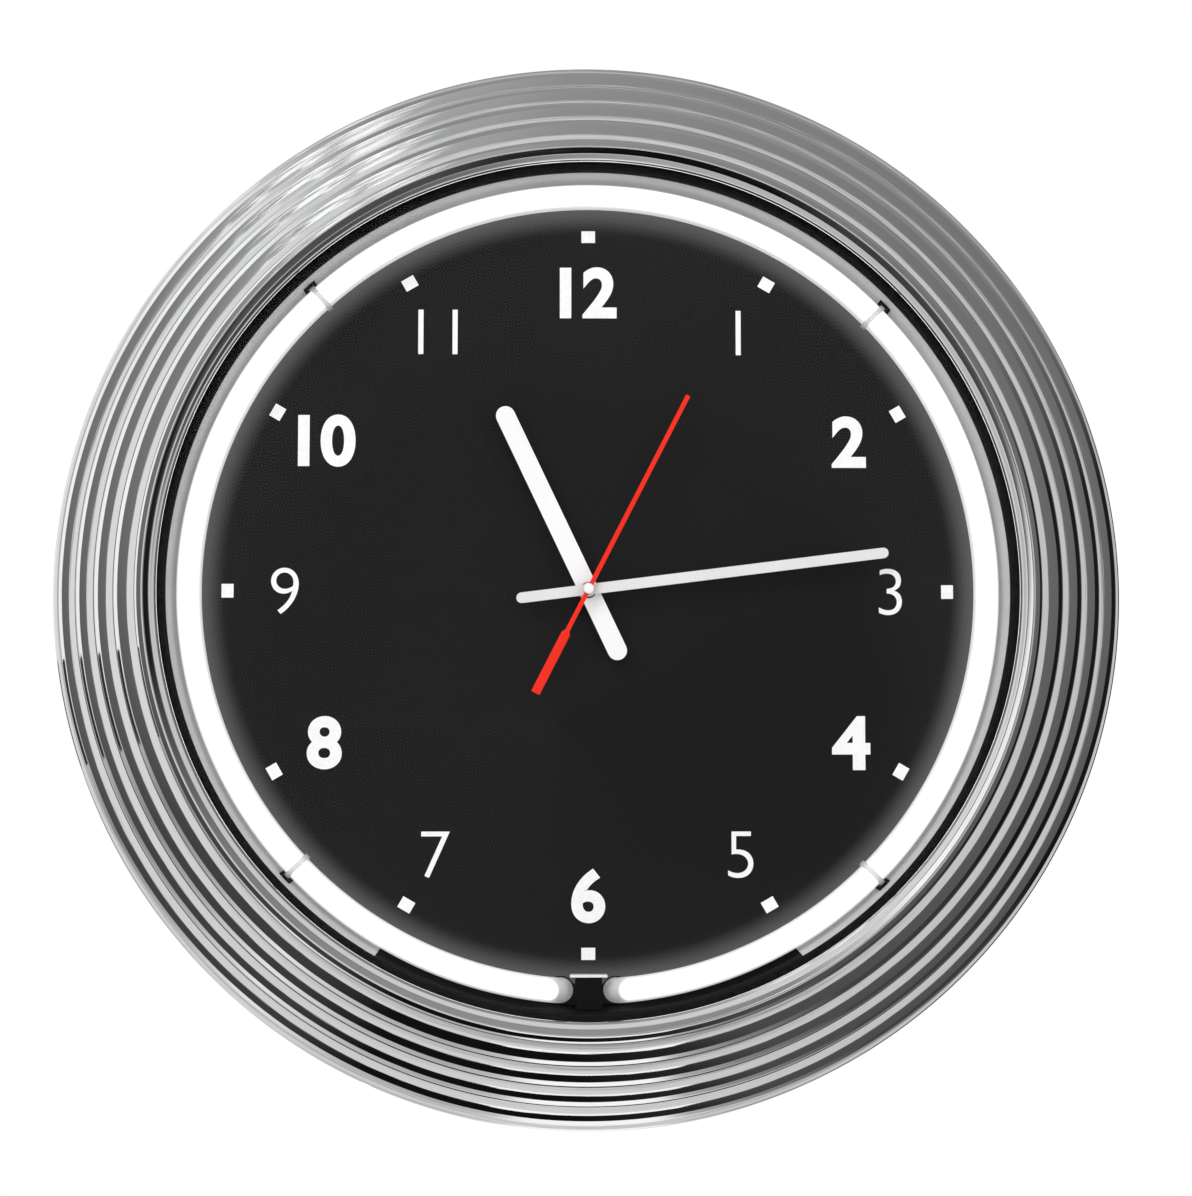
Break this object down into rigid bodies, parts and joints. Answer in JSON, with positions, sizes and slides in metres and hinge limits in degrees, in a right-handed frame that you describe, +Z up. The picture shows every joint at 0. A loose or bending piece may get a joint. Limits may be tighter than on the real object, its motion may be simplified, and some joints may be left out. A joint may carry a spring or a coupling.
{
  "type": "neon wall clock",
  "caption": "Round wall clock with a ribbed chrome ring, a ring of neon tube round a dark dial, white hour and minute hands, a red second hand and a battery movement.",
  "frame": {"origin": "the hanging point: top of the keyhole's slot, in the plane of the wall", "axes": "+Z up, +Y into the wall, +X to the right as the dial is read; the clock faces -Y"},
  "size_m": [0.43, 0.0797, 0.43],
  "materials": {
    "chrome": "polished chrome plate",
    "clear_glass": "clear flat glass",
    "black_rubber": "matte",
    "reflector_grey": "satin",
    "black_plastic": "satin",
    "pan_black": "fine texture, matte",
    "switch_gloss": "gloss",
    "tube_glass": "white-coated glass, lit",
    "clear_plastic": "translucent",
    "dial_black": "matte",
    "steel": "zinc-plated",
    "brass": "plain",
    "copper": "enamelled copper wire",
    "wheel_plastic": "natural acetal",
    "board_green": "satin",
    "battery_jacket": "plain sleeve",
    "lead_sleeve": "matte",
    "hand_white": "satin",
    "hand_red": "satin",
    "cap_white": "gloss"
  },
  "bodies": {
    "clock_body": {"chrome_ring": "chrome", "notch_grommet": "black_rubber", "front_glass": "clear_glass", "glass_gasket": "black_rubber", "reflector_wall": "reflector_grey", "electrode_cover": "black_plastic", "neon_tube": "tube_glass", "tube_support_1": "black_plastic", "tube_support_2": "black_plastic", "tube_support_3": "black_plastic", "tube_support_4": "black_plastic", "tube_tie_1": "clear_plastic", "tube_tie_2": "clear_plastic", "tube_tie_3": "clear_plastic", "tube_tie_4": "clear_plastic", "dial_plate": "dial_black", "chassis_plate": "black_plastic", "rear_pan": "pan_black", "hanger_plate": "steel", "ring_screw_1": "steel", "ring_screw_2": "steel", "ring_screw_3": "steel", "ring_screw_4": "steel", "electrode_boot_left": "black_rubber", "electrode_boot_right": "black_rubber", "hv_lead_left": "lead_sleeve", "hv_lead_right": "lead_sleeve", "transformer_case": "black_plastic", "transformer_screw_left": "steel", "transformer_screw_right": "steel", "power_inlet": "black_plastic", "switch_body": "black_plastic", "supply_lead_feed": "lead_sleeve", "supply_lead_return": "lead_sleeve", "supply_lead_switched": "lead_sleeve", "movement_case": "black_plastic", "movement_back": "black_plastic", "middle_plate": "wheel_plastic", "battery_contact_minus": "steel", "battery_contact_plus": "steel", "stator": "steel", "drive_coil": "copper", "circuit_board": "board_green", "shaft_washer": "steel", "shaft_nut": "brass"},
    "hour_work": {"hour_wheel": "wheel_plastic", "hour_hand": "hand_white"},
    "minute_work": {"minute_tube": "brass", "minute_hand": "hand_white"},
    "second_work": {"second_wheel": "brass", "second_hand": "hand_red", "second_hand_cap": "cap_white"},
    "centre_work": {"centre_wheel": "brass"},
    "third_work": {"third_wheel": "brass"},
    "intermediate_work": {"intermediate_wheel": "wheel_plastic"},
    "rotor_work": {"rotor": "steel"},
    "motion_work": {"motion_wheel": "wheel_plastic"},
    "knob_work": {"set_knob": "black_plastic"},
    "battery_cell": {"battery": "battery_jacket"},
    "rocker": {"switch_rocker": "switch_gloss"}
  },
  "joints": [
    {"name": "minute_spin", "type": "hinge", "parent": "clock_body", "child": "minute_work", "pos_m": [0, 0, -0.128], "axis": [0, 1, 0], "continuous": true},
    {"name": "hour_spin", "type": "hinge", "parent": "clock_body", "child": "hour_work", "pos_m": [0, 0, -0.128], "axis": [0, 1, 0], "continuous": true},
    {"name": "motion_spin", "type": "hinge", "parent": "clock_body", "child": "motion_work", "pos_m": [-0.01, 0, -0.128], "axis": [0, 1, 0], "continuous": true},
    {"name": "knob_spin", "type": "hinge", "parent": "clock_body", "child": "knob_work", "pos_m": [-0.02, 0, -0.128], "axis": [0, 1, 0], "continuous": true},
    {"name": "second_spin", "type": "hinge", "parent": "clock_body", "child": "second_work", "pos_m": [0, 0, -0.128], "axis": [0, 1, 0], "continuous": true},
    {"name": "third_spin", "type": "hinge", "parent": "clock_body", "child": "third_work", "pos_m": [0.00879, 0, -0.12645], "axis": [0, 1, 0], "continuous": true},
    {"name": "centre_spin", "type": "hinge", "parent": "clock_body", "child": "centre_work", "pos_m": [0, 0, -0.128], "axis": [0, 1, 0], "continuous": true},
    {"name": "intermediate_spin", "type": "hinge", "parent": "clock_body", "child": "intermediate_work", "pos_m": [-0.0079, 0, -0.12344], "axis": [0, 1, 0], "continuous": true},
    {"name": "rotor_spin", "type": "hinge", "parent": "clock_body", "child": "rotor_work", "pos_m": [-0.01303, 0, -0.11733], "axis": [0, 1, 0], "continuous": true},
    {"name": "battery_slide", "type": "slide", "parent": "clock_body", "child": "battery_cell", "axis": [0, 1, 0], "range_m": [0, 0.045]},
    {"name": "rocker_tilt", "type": "hinge", "parent": "clock_body", "child": "rocker", "pos_m": [0.07332, -0.022, -0.29039], "axis": [0, 1, 0], "range_deg": [0, 24]}
  ],
  "couplings": [
    {"joint": "hour_spin", "follows": "minute_spin", "ratio": 0.083333},
    {"joint": "motion_spin", "follows": "minute_spin", "ratio": -0.33333},
    {"joint": "knob_spin", "follows": "minute_spin", "ratio": 1},
    {"joint": "intermediate_spin", "follows": "second_spin", "ratio": -5},
    {"joint": "rotor_spin", "follows": "second_spin", "ratio": 30},
    {"joint": "third_spin", "follows": "second_spin", "ratio": -0.13333},
    {"joint": "centre_spin", "follows": "second_spin", "ratio": 0.016667}
  ]
}
